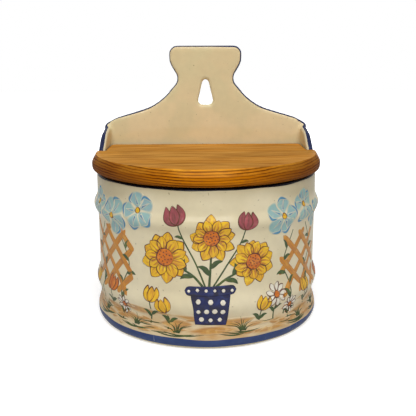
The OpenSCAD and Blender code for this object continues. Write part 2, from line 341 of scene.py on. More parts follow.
def glaze_colour(shader):
    """Cream glaze, mottled and buff on the back plate, darker towards its head as painted shade, with the
    ochre wash and with painted shade under the lid.
    """
    cloud = shader.ramp(shader.noise(38, detail=3), 0.35, 0.7)
    pot_glaze = shader.mix(cloud, CREAM, CREAM_PALE)
    # The plate's buff darkens towards its head: painted shade
    head_shade = shader.ramp(shader.z, HOLE_Z - 27, HOLE_Z + 28)
    mottle = shader.ramp(shader.noise(34, detail=3), 0.45, 0.62)
    plate_glaze = shader.mix(head_shade, BUFF, HEAD_BUFF_SHADED)
    plate_glaze = shader.mix(shader.product(mottle, 0.6), plate_glaze, GREEN_BUFF)
    colour = shader.mix(shader.ramp(shader.z, RIM_Z - 2, RIM_Z + 20), pot_glaze, plate_glaze)
    fine = shader.scale(shader.noise(5, detail=4), 0.93, 1.05)
    colour = shader.mix(1.0, colour, shader.combine(fine, fine, fine), "MULTIPLY")
    outside = outside_wall(shader)
    colour = shader.mix(shader.product(earth_wash(shader), outside, 0.9), colour, OCHRE)
    # Painted shade of the lid on the outside of the wall, just under the rim
    return shader.mix(shader.product(painted_lid_shade(shader), outside), colour, CREAM_IN_LID_SHADE)


def glazed(shader, colour):
    """The gloss and the faint relief of the glaze, over a colour."""
    shader.bump(shader.noise(7), 0.10)
    roughness = shader.scale(shader.noise(30), 0.20, 0.34)
    return shader.finish(colour, roughness, coat=0.3, coat_roughness=0.06)


def glaze_material():
    """Specked glaze with the navy line along its edges and the scuffed navy band round the foot."""
    shader = Shader("glaze")
    specks = shader.ramp(shader.noise(1.7, detail=0), 0.81, 0.84)
    colour = shader.mix(shader.product(specks, 0.4), glaze_colour(shader), SPECK)

    wobble = shader.math("SUBTRACT", shader.noise(26, detail=0), 0.5)
    wear = shader.noise(9, (1, 1, 3), detail=4)

    # The line, and beside it on the cheeks a pale strip: partly the glaze running thin, partly a painted
    # highlight on the edge
    edge = shader.total(shader.attribute("edge_paint"), shader.product(wobble, 1.1))
    on_cheek = shader.product(shader.ramp(shader.z, RIM_Z + 1, RIM_Z + 5),
                              shader.ramp(shader.y, PLATE_Y - 1, PLATE_Y - 5))
    thin_glaze_and_highlight = shader.product(shader.ramp(edge, -2.2, -0.9), on_cheek, 0.8)
    colour = shader.mix(thin_glaze_and_highlight, colour, CREAM_PALE)
    navy = shader.mix(wear, NAVY_DEEP, NAVY)
    # Near the rim the navy turns near black: painted shade of the lid
    navy = shader.mix(shader.ramp(shader.z, RIM_Z + 2, RIM_Z), navy, NAVY_IN_LID_SHADE)
    colour = shader.mix(shader.ramp(edge, -LINE_BLUR, LINE_BLUR), colour, navy)

    # The foot band
    low_edge = shader.total(shader.z, wobble)
    high_edge = shader.total(shader.z, shader.product(wobble, 1.6))
    band = shader.product(shader.ramp(low_edge, BAND_LOW_Z - BAND_BLUR, BAND_LOW_Z + BAND_BLUR),
                          shader.ramp(high_edge, BAND_HIGH_Z + BAND_BLUR, BAND_HIGH_Z - BAND_BLUR),
                          outside_wall(shader))
    scuffs = shader.ramp(shader.noise(2.4, (1, 1, 0.12)), 0.66, 0.74)
    band_colour = shader.mix(wear, BAND_NAVY, BAND_WORN)
    band_colour = shader.mix(shader.product(scuffs, 0.35), band_colour, BAND_SCUFF)
    return glazed(shader, shader.mix(band, colour, band_colour))


def paint_material(name, main, dark, pale, cover=1.0, streak=0.3, soft=0.0, pool=0.35):
    """Brushed colour under the glaze. Cover is how much it hides where it is thickest, streak how
    far the brush's streaks thin it, soft the width of a faded edge in millimetres, and pool how
    much of the dark colour gathers along the edge."""
    shader = Shader(name)
    streaks = shader.noise(1.0, (2.2, 0.10, 31), detail=3, at=shader.attribute("stroke", "Vector"))
    blots = shader.noise(4.5, detail=3)
    inset = shader.attribute("inset")
    colour = shader.mix(shader.ramp(streaks, 0.35, 0.7), main, dark)
    colour = shader.mix(shader.ramp(blots, 0.5, 0.8), colour, pale)
    colour = shader.mix(shader.product(shader.ramp(inset, 0.7, 0.1), pool), colour, dark)
    density = shader.scale(shader.product(streaks, streak), cover, cover - 0.45)
    if soft:
        density = shader.product(density, shader.ramp(inset, 0.0, soft))
    return glazed(shader, shader.mix(density, glaze_colour(shader), colour))


# ---- the painted edges of the pot ----

# How far the navy line reaches from the crest of an edge, to each side of it
RIM_LINE_OUTSIDE, RIM_LINE_INSIDE = 2.1, 1.2
CHEEK_LINE_OUTSIDE, CHEEK_LINE_INSIDE = 2.7, 0.7
PLATE_LINE_BACK, PLATE_LINE_FRONT = 2.3, 1.7

# The most that the normal leans to either side on a crest
CREST_LEAN = 0.3

# The line is looked for down to this far below the rim
LINE_ZONE = 9.0

# Kept free of the line: round the hanging hole, and round the dowels' holes
HOLE_HALF_X, HOLE_HALF_Z = 12, 16
PIN_HOLE_R = 6


def wall_side(points, turns):
    """How far each normal points out of the wall (1) or into the pot (-1)."""
    radius = np.maximum(np.hypot(points[:, 0], points[:, 1]), 1e-6)
    at_front = points[:, 1] < 0
    out_x = np.where(at_front, points[:, 0] / radius, np.sign(points[:, 0]))
    out_y = np.where(at_front, points[:, 1] / radius, 0.0)
    return turns[:, 0] * out_x + turns[:, 1] * out_y


def finder(points):
    """A tree that finds the nearest of the points."""
    tree = KDTree(len(points))
    for i, point in enumerate(points):
        tree.insert(point, i)
    tree.balance()
    return tree


def mark_edges(mesh):
    """Stores how deep each vertex lies inside the painted edge line, in millimetres."""
    points, turns = positions(mesh), normals(mesh)
    x, y, z = points.T
    backwards = turns[:, 1]
    outwards = wall_side(points, turns)
    on_plate = z > CHEEK_TOP_Z - 0.5
    on_plate_face = (y > PLATE_Y - 4.5) & (backwards < -0.5)
    in_hole = (np.abs(x) < HOLE_HALF_X) & (np.abs(z - HOLE_Z) < HOLE_HALF_Z)
    off_pin_hole = np.hypot(y - HINGE_Y, z - HINGE_Z) > PIN_HOLE_R
    cheek_crest = ~on_plate & (z > RIM_Z - 3) & (np.abs(outwards) < CREST_LEAN) & ~on_plate_face
    cheek_crest &= (y < PLATE_Y + 1) & off_pin_hole
    plate_crest = on_plate & (np.abs(backwards) < CREST_LEAN) & ~in_hole

    cheek_reach = np.where(outwards > 0, CHEEK_LINE_OUTSIDE, CHEEK_LINE_INSIDE)
    plate_reach = np.where(backwards > 0, PLATE_LINE_BACK, PLATE_LINE_FRONT)
    depth = np.full(len(points), -LINE_ZONE)
    for crest, reach in ((cheek_crest, cheek_reach), (plate_crest, plate_reach)):
        tree = finder(points[crest])
        for i in np.flatnonzero(z > RIM_Z - LINE_ZONE):
            depth[i] = max(depth[i], reach[i] - tree.find(points[i])[2])

    rim = (y < CHEEK_FRONT_Y - 2) & (z > RIM_Z - LINE_ZONE)
    depth[rim] = z[rim] - RIM_Z + np.where(outwards[rim] > 0, RIM_LINE_OUTSIDE, RIM_LINE_INSIDE)
    store(mesh, "edge_paint", depth)


# ---- brush strokes ----

# How far the paint stands over the glaze, how much more in each layer and how much less at a
# stroke's rim, and how far it reaches into the glaze
PAINT_LIFT = 0.08
LAYER_LIFT = 0.04
RIM_DROP = 0.03
PAINT_DEPTH = 0.15

# A stroke's mesh: about this far from row to row, at most this far from column to column, and at
# least this half of its width
ROW_PITCH = 0.8
COLUMN_PITCH = 0.9
LEAST_HALF = 0.04

# Where the ray towards the glaze starts, out from the plain wall, and how far it goes
RAY_START = 9
RAY_LENGTH = 24

# The painting ends this far before the back of the pot
BARE_END = 5
PAINT_END = FRONT_HALF + BODY_HIGH.y - BARE_END


def on_wall(u, z):
    """A point of the plain outside wall, and the way out of the wall there."""
    u = max(-PAINT_END, min(u, PAINT_END))
    if abs(u) <= FRONT_HALF:
        out = Vector((math.sin(u / POT_R), -math.cos(u / POT_R), 0))
        return out * POT_R + Vector((0, 0, z)), out
    side = math.copysign(1, u)
    return Vector((side * POT_R, abs(u) - FRONT_HALF, z)), Vector((side, 0, 0))


def along(points, closed=False):
    """A smooth curve through the points (Catmull-Rom), in steps of about ROW_PITCH."""
    points = [np.array(p, float) for p in points]
    n = len(points)
    spans = n if closed else n - 1
    curve = []
    for i in range(spans):
        if closed:
            p0, p1, p2, p3 = (points[(i + k) % n] for k in (-1, 0, 1, 2))
        else:
            p1, p2 = points[i], points[i + 1]
            p0 = points[i - 1] if i else 2 * p1 - p2
            p3 = points[i + 2] if i + 2 < n else 2 * p2 - p1
        count = max(2, math.ceil(np.linalg.norm(p2 - p1) / ROW_PITCH))
        for k in range(count):
            t = k / count
            curve.append(0.5 * (2 * p1 + (p2 - p0) * t + (2 * p0 - 5 * p1 + 4 * p2 - p3) * t ** 2
                                + (3 * p1 - p0 - 3 * p2 + p3) * t ** 3))
    if not closed:
        curve.append(points[-1])
    return np.array(curve)


def side_steps(path, closed=False):
    """Unit vectors across a path."""
    if closed:
        run = np.roll(path, -1, axis=0) - np.roll(path, 1, axis=0)
    else:
        run = np.gradient(path, axis=0)
    run /= np.linalg.norm(run, axis=1)[:, None]
    return np.stack([-run[:, 1], run[:, 0]], axis=1)


def half_widths(width, shares):
    """Half the width of a stroke at shares of its length, and never nothing."""
    return np.array([max(width(share), LEAST_HALF) for share in shares])


def outline(path, width):
    """The line round a stroke, for a contour brushed over its edge."""
    half = half_widths(width, np.linspace(0, 1, len(path)))[:, None]
    across = side_steps(path)
    loop = np.concatenate([path + across * half, (path - across * half)[::-1]])
    return loop[::2]


def turned(offset, angle):
    """An offset (u, z) turned by an angle."""
    c, s = math.cos(angle), math.sin(angle)
    return np.array([offset[0] * c - offset[1] * s, offset[0] * s + offset[1] * c])


def ribbon_faces(first, rows, columns, closed):
    """Faces of a closed flat ribbon: its top rows of vertices first, then its bottom rows."""
    low = first + rows * columns
    spans = rows if closed else rows - 1
    faces = []
    for i in range(spans):
        a, b = i * columns, (i + 1) % rows * columns
        for j in range(columns - 1):
            faces.append((first + a + j, first + b + j, first + b + j + 1, first + a + j + 1))
            faces.append((low + a + j, low + a + j + 1, low + b + j + 1, low + b + j))
        faces.append((first + a, low + a, low + b, first + b))
        last = columns - 1
        faces.append((first + a + last, first + b + last, low + b + last, low + a + last))
    if not closed:
        end = (rows - 1) * columns
        for j in range(columns - 1):
            faces.append((first + j, first + j + 1, low + j + 1, low + j))
            faces.append((first + end + j, low + end + j, low + end + j + 1, first + end + j + 1))
    return faces


class Paint:
    """All brush strokes of one colour, as one closed mesh that lies on the pot."""

    def __init__(self, glaze_tree):
        self.glaze_tree = glaze_tree
        self.vertices = []
        self.faces = []
        self.stroke = []
        self.inset = []

    def on_glaze(self, u, z):
        """The point of the glaze at a place of the painting, and the way out of the wall there."""
        start, out = on_wall(u, z)
        hit = self.glaze_tree.ray_cast((start + out * RAY_START) * MM, -out, RAY_LENGTH * MM)[0]
        return hit / MM if hit else start, out

    def brush(self, path, width, layer, closed=False):
        """One stroke along a path [u, z]; width gives half its width at 0 to 1 of its length."""
        n = len(path)
        shares = np.arange(n) / (n if closed else n - 1)
        half = half_widths(width, shares)
        columns = max(2, math.ceil(2 * half.max() / COLUMN_PITCH))
        across = side_steps(path, closed)
        seed = random.random()
        length = n * ROW_PITCH
        top, low = [], []
        for i in range(n):
            from_end = length if closed else min(shares[i], 1 - shares[i]) * length
            for j in range(columns + 1):
                lateral = 2 * j / columns - 1
                base, out = self.on_glaze(*(path[i] + across[i] * half[i] * lateral))
                at_rim = j in (0, columns) or (not closed and i in (0, n - 1))
                lift = PAINT_LIFT + LAYER_LIFT * layer - (RIM_DROP if at_rim else 0)
                top.append(base + out * lift)
                low.append(base - out * PAINT_DEPTH)
                self.stroke.append((lateral, shares[i] * length, seed))
                self.inset.append(min((1 - abs(lateral)) * half[i], from_end))
        first = len(self.vertices)
        self.stroke.extend(self.stroke[-len(top):])
        self.inset.extend(self.inset[-len(top):])
        self.vertices.extend(top + low)
        self.faces.extend(ribbon_faces(first, n, columns + 1, closed))

    def made(self, name, material):
        """The strokes as a piece. Each vertex keeps its place in its stroke, and how far it is
        from the stroke's edge."""
        piece = new_piece(name, self.vertices, self.faces, "box")
        store(piece.data, "stroke", np.array(self.stroke))
        store(piece.data, "inset", np.array(self.inset))
        piece.data.materials.append(material)
        return piece


# Ways that half the width of a stroke runs along its length, as functions of the share of it

def even(half):
    """The same all along, with round ends."""
    return lambda s: half * math.sqrt(max(0.0, 1 - (abs(2 * s - 1) * 1.02) ** 14))


def leaf(half, widest=0.5):
    """Pointed at both ends."""
    power = math.log(0.5) / math.log(widest)
    return lambda s: half * math.sin(math.pi * s ** power) ** 0.8


def blade(half):
    """Full at the start and drawn out to a point."""
    return lambda s: half * (1 - s) ** 0.7


def disc(half):
    """Round."""
    return lambda s: half * math.sqrt(max(0.0, 1 - (2 * s - 1) ** 2))


def pressed(half, turns):
    """A line that swells and thins as the brush is pressed."""
    return lambda s: half * (0.72 + 0.45 * math.sin(turns * s + turns))


# ---- layout of the painted garden ----

# Left, right, low and high edge, and the pitch of the laths
TRELLISES = (
    (-108, -56, 33, 79, 19), (55, 103, 31, 75, 18), (-168, -122, 34, 77, 18), (122, 168, 34, 77, 18),
)

# Side of the pot, and where the two climbers of a pair stand
CLIMBER_PAIRS = ((-1, 60, 96), (1, 58, 90), (-1, 140, 160), (1, 136, 158))

# The climbers of a pair: points of the stem, with u from its foot, and leaves
CLIMBERS = (
    (((0, 18), (6, 38), (-1, 56), (9, 78)),
     ((0.2, 1, 9), (0.36, -1, 8), (0.5, 1, 9), (0.66, -1, 8), (0.8, 1, 8))),
    (((0, 20), (-7, 42), (2, 62), (-6, 80)),
     ((0.25, -1, 9), (0.45, 1, 8), (0.65, -1, 8), (0.8, 1, 7))),
)

# Stems that stand in the flower pot: points, half width and leaves
BOUQUET_STEMS = (
    (((-2, 44), (-11, 54), (-25, 61)), 0.9, ((0.4, 1, 10), (0.6, -1, 9))),
    (((1, 44), (2, 58), (3, 76)), 0.9, ((0.3, 1, 11), (0.45, -1, 10))),
    (((4, 44), (15, 52), (30, 58)), 0.9, ((0.35, -1, 10), (0.55, 1, 9))),
    (((-1, 44), (-8, 62), (-17, 80), (-19, 90)), 0.6, ((0.75, 1, 6),)),
    (((3, 44), (13, 60), (23, 76), (26, 86)), 0.6, ((0.75, -1, 6),)),
)

# In the bouquet: u, z and size of each flower, and the lean of a tulip
BOUQUET_TULIPS = ((-20, 88, 13, 0.25), (26, 84, 12, -0.15))
SUNFLOWERS = ((-29, 65, 18), (32, 61, 16.5), (3, 79, 16))

# u of its middle, and z of its foot and its lip
FLOWER_POT = (2, 18, 46)

# u, z and radius
BLOOMS = (
    (-49, 95, 14), (-74, 88, 15), (-97, 94, 12.5), (-128, 90, 14), (-150, 95, 12),
    (55, 90, 14.5), (79, 94, 13), (99, 85, 12), (126, 93, 13), (149, 88, 14),
)

# u of the flower, z of its foot, height, lean and colour
BORDER_TULIPS = (
    (-40, 16, 17, 0.1, "yellow"), (-29, 14, 12, -0.3, "yellow"), (-78, 17, 16, 0.2, "orange"),
    (-106, 17, 14, 0.1, "yellow"), (-132, 16, 15, -0.1, "orange"), (38, 15, 11, 0.3, "yellow"),
    (82, 17, 13, -0.1, "yellow"), (112, 17, 15, 0.1, "orange"), (140, 16, 14, 0.1, "yellow"),
)

# u of the flower, z of its foot, height and radius
DAISIES = ((50, 15, 20, 9), (64, 14, 10, 7), (-64, 14, 11, 7), (-118, 15, 12, 8), (126, 15, 12, 8))

# u, z and height
TUFTS = (
    (-21, 12, 11), (24, 13, 12), (-52, 13, 9), (74, 12, 10),
    (-88, 14, 10), (100, 13, 9), (-146, 13, 9), (152, 13, 9),
)


def touch(low, high, shortest, longest, slant):
    """The path of a short, about level stroke at any place round the pot."""
    u = random.uniform(-1, 1) * (FRONT_HALF + 36)
    z = random.uniform(low, high)
    reach = random.uniform(shortest, longest)
    return [(u + share * reach, z + random.uniform(-slant, slant)) for share in (-1, 0, 1)]


class Painter:
    """The pot's decoration: a dotted flower pot and its blooms between trellises, over a border."""

    def __init__(self, glaze_tree):
        self.paint = {name: Paint(glaze_tree) for name in PAINTS}

    def dab(self, colour, points, width, layer, closed=False):
        """One stroke of a colour, in a curve through the points."""
        self.paint[colour].brush(along(points, closed), width, layer, closed)

    def contour(self, points, width, layer, half):
        """A thin dark line round a stroke, a little off its edge as a hand leaves it."""
        slip = np.array([random.uniform(-0.3, 0.3), random.uniform(-0.3, 0.3)])
        loop = outline(along(points), width) + slip
        self.dab("umber", loop, pressed(half, random.uniform(6, 11)), layer, closed=True)

    def dot(self, colour, u, z, radius, layer):
        """A round dot, laid down in one short stroke."""
        self.dab(colour, [(u - radius, z), (u, z + 0.05), (u + radius, z)], disc(radius), layer)

    def eye(self, colour, u, z, radius, layer, line):
        """A dot with a contour round it."""
        self.dot(colour, u, z, radius, layer)
        self.contour([(u - radius, z), (u, z), (u + radius, z)], disc(radius), layer + 1, line)

    def petal(self, centre, angle, inner, outer, half, colour, layer, bend, widest):
        """A petal from an inner to an outer radius; returns the points of its middle line."""
        points = [centre + turned((r, bend * math.sin(math.pi * t)), angle)
                  for r, t in ((inner, 0), ((inner + outer) / 2, 0.5), (outer, 1))]
        self.dab(colour, points, leaf(half, widest), layer)
        return points

    def sunflower(self, u, z, radius):
        """Two rings of veined petals round an eye that is dotted with seeds."""
        petals = 9
        widest = 0.58
        seeds = 16
        golden_angle = 2.4
        centre = np.array([u, z])
        start = random.uniform(0, 1)
        for ring, (share, layer) in enumerate(((1.0, 0), (0.84, 2))):
            for k in range(petals):
                angle = 2 * math.pi * (k + 0.5 * ring + random.uniform(-0.13, 0.13)) / petals + start
                half = radius * 0.25 * share * random.uniform(0.88, 1.1)
                inner = radius * 0.18
                outer = radius * share * random.uniform(0.88, 1.06)
                bend = random.uniform(-1.0, 1.0)
                points = self.petal(centre, angle, inner, outer, half, "yellow", layer, bend, widest)
                self.contour(points, leaf(half, widest), layer + 1, 0.3)
                for offset in (-0.10, 0.07):
                    vein = [centre + turned((radius * r, bend * 0.8 + offset * radius * share), angle)
                            for r in (0.36, 0.5 * share + 0.1, random.uniform(0.68, 0.8) * share)]
                    self.dab("amber", vein, blade(0.75), layer + 1)
        self.eye("orange", u, z, radius * 0.34, 4, 0.4)
        for k in range(seeds):
            seed = centre + turned((radius * 0.072 * math.sqrt(k), 0), k * golden_angle)
            self.dot("umber", seed[0], seed[1], 0.5, 5)

    def bloom(self, u, z, radius, lean):
        """A loose, watery flower of round petals, with the wet colour drawn to their edges."""
        petals = 5
        widest = 0.64
        centre = np.array([u, z])
        for k in range(petals):
            angle = 2 * math.pi * k / petals + lean + random.uniform(-0.12, 0.12)
            outer = radius * random.uniform(0.88, 1.05)
            half = radius * random.uniform(0.44, 0.52)
            bend = random.uniform(-0.8, 0.8)
            points = self.petal(centre, angle, 0, outer, half, "blue", k % 2, bend, widest)
            shape = outline(along(points), leaf(half * 0.86, widest))
            first = random.randrange(3, 8)
            self.dab("azure", shape[first:first + len(shape) * 2 // 5:3], leaf(1.25), 2)
            vein = [centre + turned((radius * r, bend), angle) for r in (0.26, 0.5, 0.8)]
            self.dab("azure", vein, blade(1.1), 2)
        self.eye("yellow", u, z, radius * 0.14, 3, 0.3)

    def daisy(self, u, z, radius):
        """One ring of narrow white petals round an eye."""
        petals = 9
        half, widest = radius * 0.2, 0.6
        centre = np.array([u, z])
        for k in range(petals):
            angle = 2 * math.pi * (k + random.uniform(-0.1, 0.1)) / petals
            points = self.petal(centre, angle, half, radius, half, "white", k % 2, 0.3, widest)
            self.contour(points, leaf(half, widest), 2, 0.28)
        self.eye("orange", u, z, radius * 0.26, 3, 0.3)

    def tulip(self, u, z, size, lean, colour):
        """A petal to each side, and one in front of them."""
        base = np.array([u, z])
        widest = 0.45
        line = 0.34
        for side in (-1, 1):
            points = [base, base + turned((size * 0.34 * side, size * 0.45), lean),
                      base + turned((size * random.uniform(0.26, 0.36) * side, size), lean)]
            self.dab(colour, points, leaf(size * 0.24, widest), 1)
            self.contour(points, leaf(size * 0.24, widest), 2, line)
        points = [base, base + turned((0, size * 0.5), lean), base + turned((0, size * 0.96), lean)]
        self.dab(colour, points, leaf(size * 0.26, widest), 3)
        self.contour(points, leaf(size * 0.26, widest), 4, line)

    def leafed_stem(self, points, half, leaves):
        """A stem, and leaves as (share of its length, side that it leans to, length)."""
        path = along(points)
        self.paint["green"].brush(path, lambda s: half * (1 - 0.35 * s), 0)
        across = side_steps(path)
        for share, side, length in leaves:
            i = int(share * (len(path) - 1))
            root = path[i]
            run = np.array([across[i][1], -across[i][0]])
            tip = root + across[i] * side * length * 0.8 + run * length * 0.55
            middle = (root + tip) / 2 + run * length * 0.18
            self.dab("green", [root, middle, tip], leaf(length * 0.17, 0.42), 1)

    def tuft(self, u, z, height):
        """A tuft of grass on a few strokes of ground."""
        blades = 8
        for k in range(blades):
            lean = (k / (blades - 1) - 0.5) * 2
            tip = height * random.uniform(0.55, 1.0) * (1 - 0.5 * abs(lean))
            points = [(u + lean * 1.5, z), (u + lean * height * 0.36, z + tip * 0.65),
                      (u + lean * height * random.uniform(0.8, 1.1), z + tip)]
            self.dab("green", points, blade(0.5), 1)
        for _ in range(3):
            reach = height * random.uniform(0.7, 1.3)
            at = u + height * random.uniform(-0.6, 0.6)
            low = z - random.uniform(0.3, 2.6)
            points = [(at - reach, low + 0.8), (at, low - 0.6), (at + reach, low + 0.4)]
            self.dab("green", points, leaf(0.45), 1)

    def lath(self, start, end, layer):
        """One lath, a little bent as a hand paints it."""
        middle = [(a + b) / 2 + random.uniform(-0.8, 0.8) for a, b in zip(start, end)]
        self.dab("amber", [start, middle, end], even(random.uniform(2.0, 2.4)), layer)

    def trellis(self, left, right, low, high, pitch):
        """Laths that cross at a slant inside a rectangle, with uneven ends."""
        rise = high - low
        shortest = pitch * 0.6
        for layer, side in enumerate((1, -1)):
            start = left - rise + pitch * random.uniform(0.4, 0.7)
            while start < right:
                u0, z0, u1, z1 = start, low, start + rise, high
                if u0 < left:
                    z0, u0 = low + (left - u0), left
                if u1 > right:
                    z1, u1 = high - (u1 - right), right
                if side < 0:
                    u0, u1 = left + right - u0, left + right - u1
                if abs(u1 - u0) > shortest:
                    more = random.uniform(0, 1.6)
                    run = math.copysign(more, u1 - u0)
                    self.lath((u0 - run, z0 - more), (u1 + run, z1 + more), layer)
                start += pitch

    def flower_pot(self, u, low, high):
        """A navy pot with a thick lip, dotted in white."""
        wide, narrow = 16.0, 10.5
        lip_z = high - 3.2
        dot_rows = ((low + 4, 3), (low + 10.5, 4), (low + 17, 3))
        lip_dots = 6

        def belly(s):
            return narrow + (wide - 2.5 - narrow) * s + 0.3 * math.sin(9 * s)

        self.dab("navy", [(u, low), (u + 0.3, (low + lip_z) / 2), (u, lip_z)], belly, 2)
        lip = [(u - wide - 1.5, lip_z - 0.4), (u, lip_z - 0.6), (u + wide + 1.5, lip_z + 0.3)]
        self.dab("navy", lip, even(3.4), 3)
        for z, count in dot_rows:
            reach = narrow - 3 + (wide - narrow) * (z - low) / (high - low)
            for k in range(count):
                share = (k + 0.5) / count * 2 - 1
                size = random.uniform(1.45, 1.85)
                self.dot("white", u + share * reach * 1.12, z + random.uniform(-0.6, 0.6), size, 4)
        for k in range(lip_dots):
            size = random.uniform(1.0, 1.3)
            at = u - wide + 1.4 + k * (2 * wide - 2.8) / (lip_dots - 1)
            self.dot("white", at, lip_z + random.uniform(-0.7, 0.1), size, 5)

    def ground(self):
        """Broad, watery strokes of earth colour above the foot."""
        end = FRONT_HALF + 38
        at = -end
        while at < end:
            length = random.uniform(24, 46)
            z = random.uniform(11, 25)
            points = [(at - length / 2, z + random.uniform(-1.5, 1.5)), (at, z + random.uniform(-1, 1)),
                      (at + length / 2, z + random.uniform(-1.5, 1.5))]
            self.dab("earth", points, leaf(random.uniform(1.8, 4.2)), 0)
            at += random.uniform(9, 17)

    def climbers(self):
        """Leafed stems that climb the trellises, mirrored on the two sides of the pot."""
        for side, *feet in CLIMBER_PAIRS:
            for foot, (stem, leaves) in zip(feet, CLIMBERS):
                points = [(side * (foot + bend), z) for bend, z in stem]
                mirrored = [(share, side * leaf_side, length) for share, leaf_side, length in leaves]
                self.leafed_stem(points, 0.55, mirrored)

    def bouquet(self):
        """Tulips and sunflowers in the flower pot."""
        for points, half, leaves in BOUQUET_STEMS:
            self.leafed_stem(points, half, leaves)
        for u, z, size, lean in BOUQUET_TULIPS:
            self.tulip(u, z, size, lean, "plum")
        for u, z, radius in SUNFLOWERS:
            self.sunflower(u, z, radius)
        self.flower_pot(*FLOWER_POT)

    def blooms(self):
        """The blooms above the trellises, each at an angle of its own."""
        for u, z, radius in BLOOMS:
            self.bloom(u, z, radius, random.uniform(0, 1.2))

    def border(self):
        """Tulips, daisies and grass along the foot of the garden."""
        for u, z, height, lean, colour in BORDER_TULIPS:
            foot = u - 6 * lean
            self.leafed_stem([(foot, z), (foot + 1, z + height * 0.5), (u, z + height)],
                             0.55, ((0.3, 1, 8), (0.4, -1, 7)))
            self.tulip(u, z + height - 0.5, 10.5, -lean, colour)
        for u, z, height, radius in DAISIES:
            self.leafed_stem([(u - 2, z), (u - 1, z + height * 0.5), (u, z + height)],
                             0.55, ((0.35, 1, 7), (0.45, -1, 7)))
            self.daisy(u, z + height, radius)
        for u, z, height in TUFTS:
            self.tuft(u, z, height)

    def smears(self):
        """Short, dry touches of the brush over the earth, and a few thin blades lying on it."""
        for _ in range(64):
            points = touch(10.5, 26, shortest=2.5, longest=9, slant=0.9)
            self.dab("clay", points, leaf(random.uniform(0.6, 1.5), 0.4), 0.5)
        for _ in range(22):
            points = touch(10.5, 19, shortest=4, longest=9, slant=1.0)
            self.dab("green", points, leaf(0.38), 0.5)

    def work(self):
        """Paints it all, and returns the strokes of each colour."""
        self.ground()
        for edges_and_pitch in TRELLISES:
            self.trellis(*edges_and_pitch)
        self.climbers()
        self.bouquet()
        self.blooms()
        self.border()
        self.smears()
        return self.paint


# ---- wood ----

RING_PITCH = 1.75
RING_RADIUS = 1300


def late_share(shader):
    """Share of dark late wood, in growth rings that lie nearly flat in the board and sway."""
    bow = shader.product(shader.y, shader.y, 1 / (2 * RING_RADIUS))
    sway = shader.product(shader.noise(80, (0.35, 1, 1)), 7)
    drift = shader.product(shader.noise(16, (0.12, 1, 1)), 1.6)
    ripple = shader.product(shader.noise(3, (0.07, 1, 1), detail=3), 0.8)
    rings = shader.math("DIVIDE", shader.total(shader.z, bow, sway, drift, ripple), RING_PITCH)
    phase = shader.math("FRACT", rings)
    ring_place = shader.combine(shader.product(shader.math("FLOOR", rings), 7.3),
                                shader.product(shader.x, 0.02), 0.0)
    strength = shader.scale(shader.noise(1.0, detail=0, at=ring_place), 0.05, 1.5)
    return shader.product(shader.ramp(phase, 0.4, 0.85), shader.ramp(phase, 1.0, 0.92), strength)


def pine_material():
    """Varnished pine, its grain along X. Its colour follows which way the surface faces: the top paler as
    painted sheen, the bevel bright as painted highlight, the underside darker as painted shade, and the
    edge darker towards the ends of the board, as end grain and painted shade.
    """
    shader = Shader("pine")
    flat = shader.ramp(shader.math("ABSOLUTE", shader.facing_z), 0.90, 0.98)
    spread = shader.ramp(shader.noise(15, (0.12, 1, 1), detail=3), 0.35, 0.7)
    blaze = shader.ramp(shader.noise(24, (0.55, 1, 1)), 0.38, 0.62)
    end_grain_and_shade = shader.ramp(shader.math("ABSOLUTE", shader.x), 12, 70)

    # Paler top: painted sheen
    top = shader.mix(spread, TOP_WOOD_SHEEN, TOP_WOOD_SHEEN_DEEP)
    edge = shader.mix(spread, EDGE_WOOD, EDGE_WOOD_DEEP)
    # Towards the ends: darker end grain, and painted shade
    edge = shader.mix(shader.product(end_grain_and_shade, 0.88), edge, END_GRAIN_SHADED)
    # Bright bevel: painted highlight
    bevel_highlight = shader.mix(blaze, BEVEL_WOOD_HIGHLIGHT, BEVEL_WOOD_HIGHLIGHT_DEEP)
    bevel_highlight = shader.mix(shader.product(end_grain_and_shade, 0.66), bevel_highlight, END_GRAIN_SHADED)
    colour = shader.mix(shader.ramp(shader.facing_z, 0.3, 0.66), edge, bevel_highlight)
    colour = shader.mix(flat, colour, top)
    # Darker underside: painted shade
    under = shader.product(shader.ramp(shader.facing_z, -0.05, -0.6), shader.scale(flat, 0.5, 0.3))
    colour = shader.mix(under, colour, UNDER_WOOD_SHADED)

    fibre = shader.noise(1.4, (0.05, 1, 1), detail=4)
    pores = shader.product(shader.ramp(fibre, 0.44, 0.62), shader.scale(flat, 0.4, 0.6))
    colour = shader.mix(pores, colour, PORE_WOOD)
    late = late_share(shader)
    share = shader.product(late, shader.scale(flat, 1.0, 0.38), shader.scale(blaze, 0.6, 1.1))
    colour = shader.mix(share, colour, LATE_WOOD)
    shader.bump(shader.total(late, shader.product(fibre, 0.6)), 0.05)
    return shader.finish(colour, shader.scale(fibre, 0.28, 0.46), coat=0.07, coat_roughness=0.25)


def dowel_material():
    """Plain beech with short flecks along the pin."""
    shader = Shader("dowel")
    fleck = shader.noise(1.3, (0.12, 1, 1), detail=3)
    colour = shader.mix(shader.ramp(fleck, 0.4, 0.7), BEECH, BEECH_DEEP)
    shader.bump(fleck, 0.04)
    return shader.finish(colour, shader.scale(fleck, 0.45, 0.6), gloss=0.5)


# ---- the object ----

pot = softened("ceramic_body", "pot", voxel=1.2, passes=6, body="box")
mark_edges(pot.data)
pot.data.materials.append(glaze_material())

pot_tree = BVHTree.FromPolygons([v.co for v in pot.data.vertices],
                                [p.vertices for p in pot.data.polygons])
for colour_name, paint in Painter(pot_tree).work().items():
    paint.made("paint_" + colour_name, paint_material("paint_" + colour_name, **PAINTS[colour_name]))

lid = softened("lid", "lid_board", voxel=0.8, passes=2, body="lid")
lid.data.materials.append(pine_material())
for pin in ("hinge_pin_left", "hinge_pin_right"):
    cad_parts[pin].material_slots[0].material = dowel_material()


# ---- stage, light and camera, in metres ----

